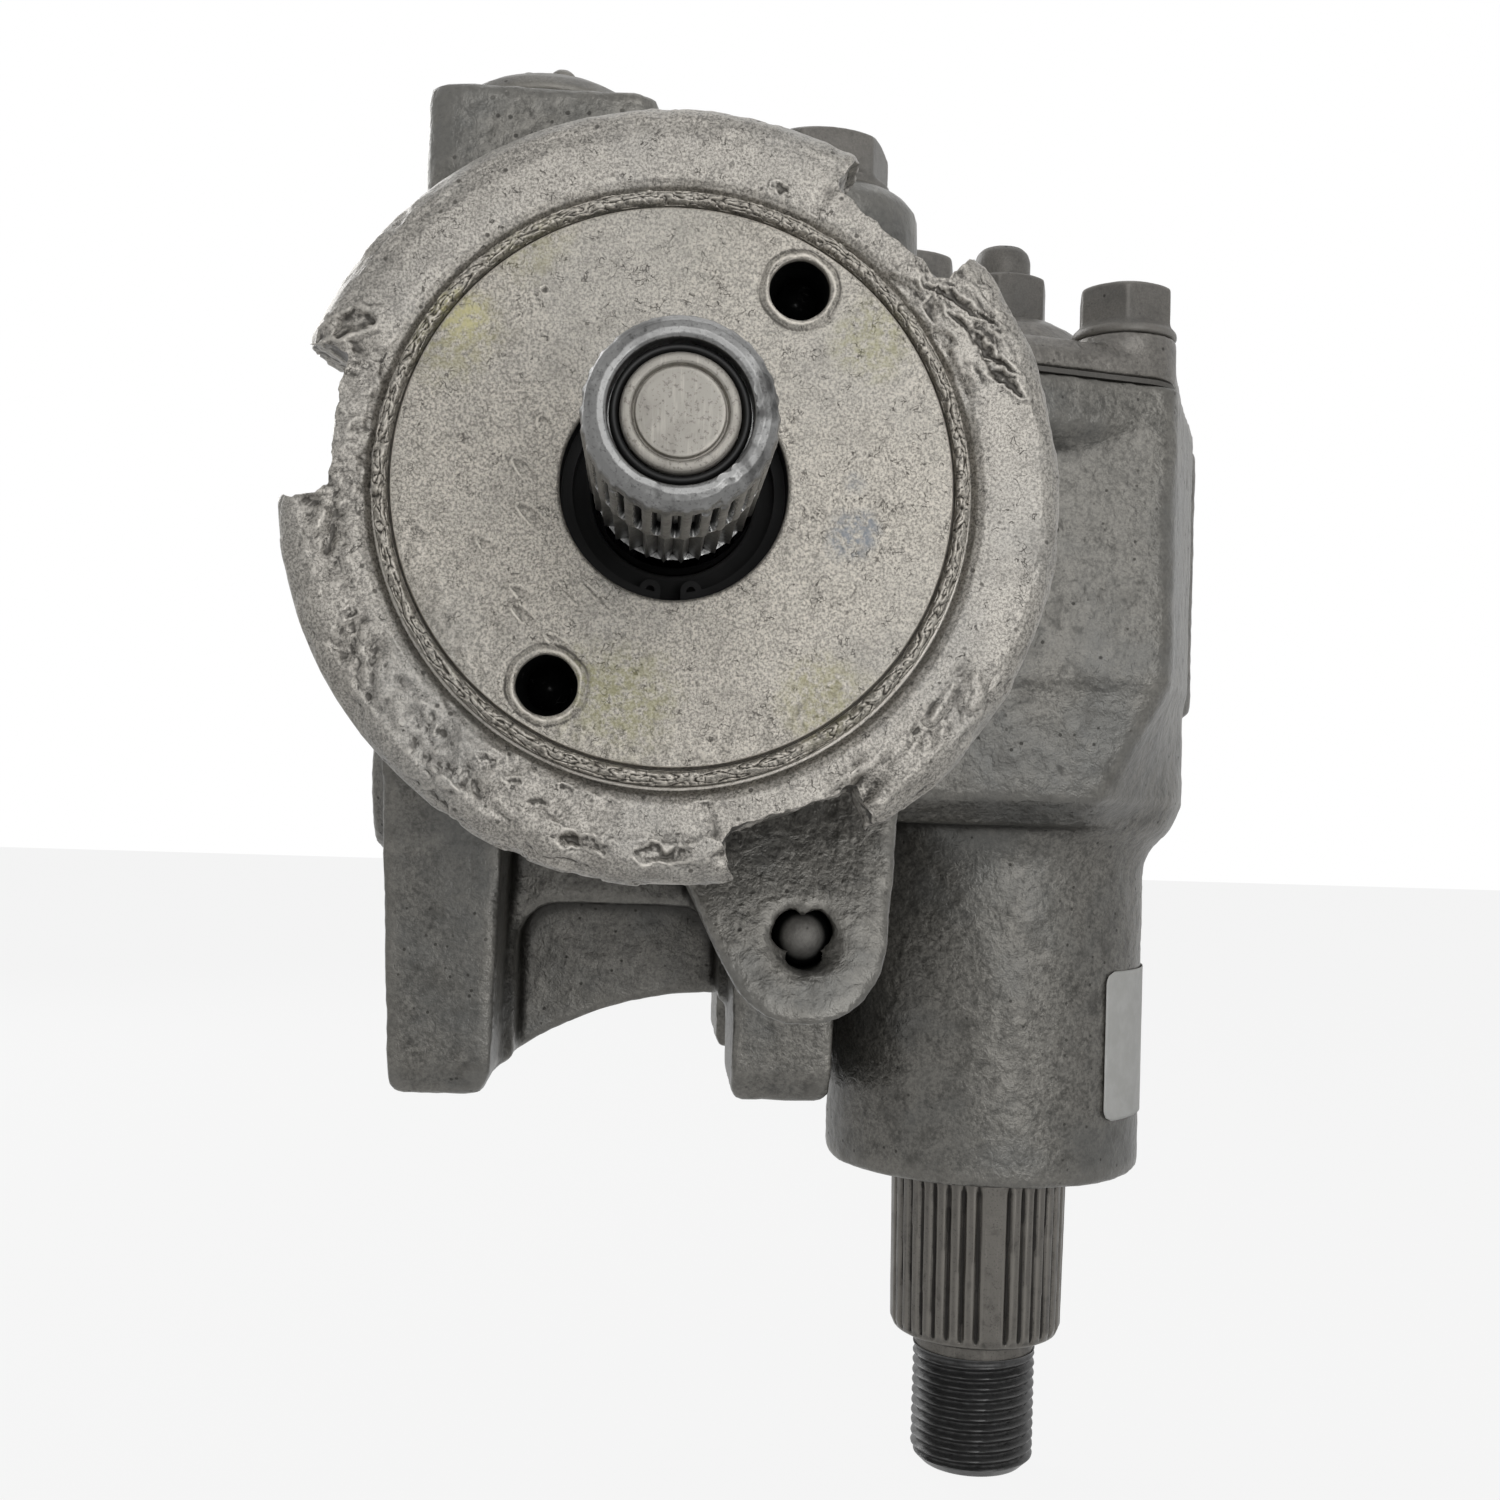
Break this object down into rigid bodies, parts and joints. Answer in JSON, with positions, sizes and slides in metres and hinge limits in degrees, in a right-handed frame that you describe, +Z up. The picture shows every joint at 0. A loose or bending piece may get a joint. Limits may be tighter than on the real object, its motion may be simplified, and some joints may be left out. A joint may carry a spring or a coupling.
{
  "type": "steering gearbox",
  "caption": "Recirculating-ball power steering gearbox with a serrated input shaft, rotary valve, rack piston and splined output shaft.",
  "frame": {"origin": "centre of the input shaft's outer end face", "axes": "+Y runs into the gearbox along the worm's axis, +Z is up, and the output shaft points down, along -Z"},
  "size_m": [0.1468, 0.2605, 0.2226],
  "materials": {
    "painted_casting": "silver-grey enamel over a rough iron casting",
    "painted_ring": "silver-grey enamel over a hammered ring",
    "painted_plug": "silver-grey enamel over a machined face",
    "painted_fasteners": "silver-grey enamel over steel",
    "painted_cap": "silver-grey enamel over a pressed cap",
    "bare_steel": "turned steel",
    "ground_steel": "ground steel",
    "input_steel": "worn bright steel",
    "torsion_steel": "turned bright steel",
    "output_steel": "oiled steel",
    "ball_steel": "polished balls",
    "black_rubber": "oily black rubber",
    "gasket": "pressed fibre",
    "brass_seats": "turned brass",
    "bronze_bushing": "sintered bronze"
  },
  "bodies": {
    "housing": {"gear_housing": "painted_casting", "lock_ring": "painted_ring", "adjuster_plug": "painted_plug", "plug_o_ring": "black_rubber", "input_retaining_ring": "bare_steel", "input_dust_seal": "black_rubber", "input_lip_seal": "black_rubber", "plug_needle_bearing": "bare_steel", "upper_thrust_bearing": "bare_steel", "lower_thrust_bearing": "bare_steel", "lash_adjuster_screw": "painted_fasteners", "adjuster_lock_nut": "painted_fasteners", "side_cover": "painted_casting", "side_cover_gasket": "gasket", "side_cover_bushing": "bronze_bushing", "side_cover_bolts": "painted_fasteners", "pitman_needle_bearing": "bare_steel", "pitman_seal": "black_rubber", "seal_washer": "bare_steel", "pitman_dust_seal": "black_rubber", "pitman_retaining_ring": "bare_steel", "end_cover": "painted_fasteners", "end_cover_o_ring": "black_rubber", "end_retaining_ring": "painted_fasteners", "return_port_cap": "painted_cap", "pressure_port_plug": "painted_fasteners", "port_seats": "brass_seats", "passage_ball": "ball_steel"},
    "worm": {"worm_shaft": "ground_steel", "valve_sleeve": "ground_steel", "valve_sleeve_rings": "black_rubber", "valve_sleeve_pin": "bare_steel", "lower_drive_pin": "bare_steel"},
    "input": {"input_shaft": "input_steel", "torsion_bar": "torsion_steel", "torsion_bar_o_ring": "black_rubber", "upper_drive_pin": "bare_steel", "valve_spool": "ground_steel"},
    "rack": {"rack_piston": "ground_steel", "piston_ring": "black_rubber", "piston_end_plug": "bare_steel", "recirculating_balls": "ball_steel", "ball_guide": "bare_steel", "guide_clamp": "bare_steel", "clamp_screws": "bare_steel"},
    "sector": {"pitman_shaft": "output_steel", "adjuster_retainer": "bare_steel"}
  },
  "joints": [
    {"name": "worm_turn", "type": "hinge", "parent": "housing", "child": "worm", "pos_m": [0, 0.1, 0], "axis": [0, 1, 0], "range_deg": [-530, 530]},
    {"name": "rack_slide", "type": "slide", "parent": "housing", "child": "rack", "axis": [0, 1, 0], "range_m": [-0.0212, 0.0212]},
    {"name": "sector_turn", "type": "hinge", "parent": "housing", "child": "sector", "pos_m": [0.061, 0.156, 0], "axis": [0, 0, 1], "range_deg": [-38, 38]},
    {"name": "valve_twist", "type": "hinge", "parent": "worm", "child": "input", "pos_m": [0, 0, 0], "axis": [0, 1, 0], "range_deg": [-5, 5], "stiffness_Nm_per_rad": 100}
  ],
  "couplings": [
    {"joint": "sector_turn", "follows": "worm_turn", "ratio": 0.071429},
    {"joint": "rack_slide", "follows": "worm_turn", "m_per_rad": -0.0022857}
  ]
}
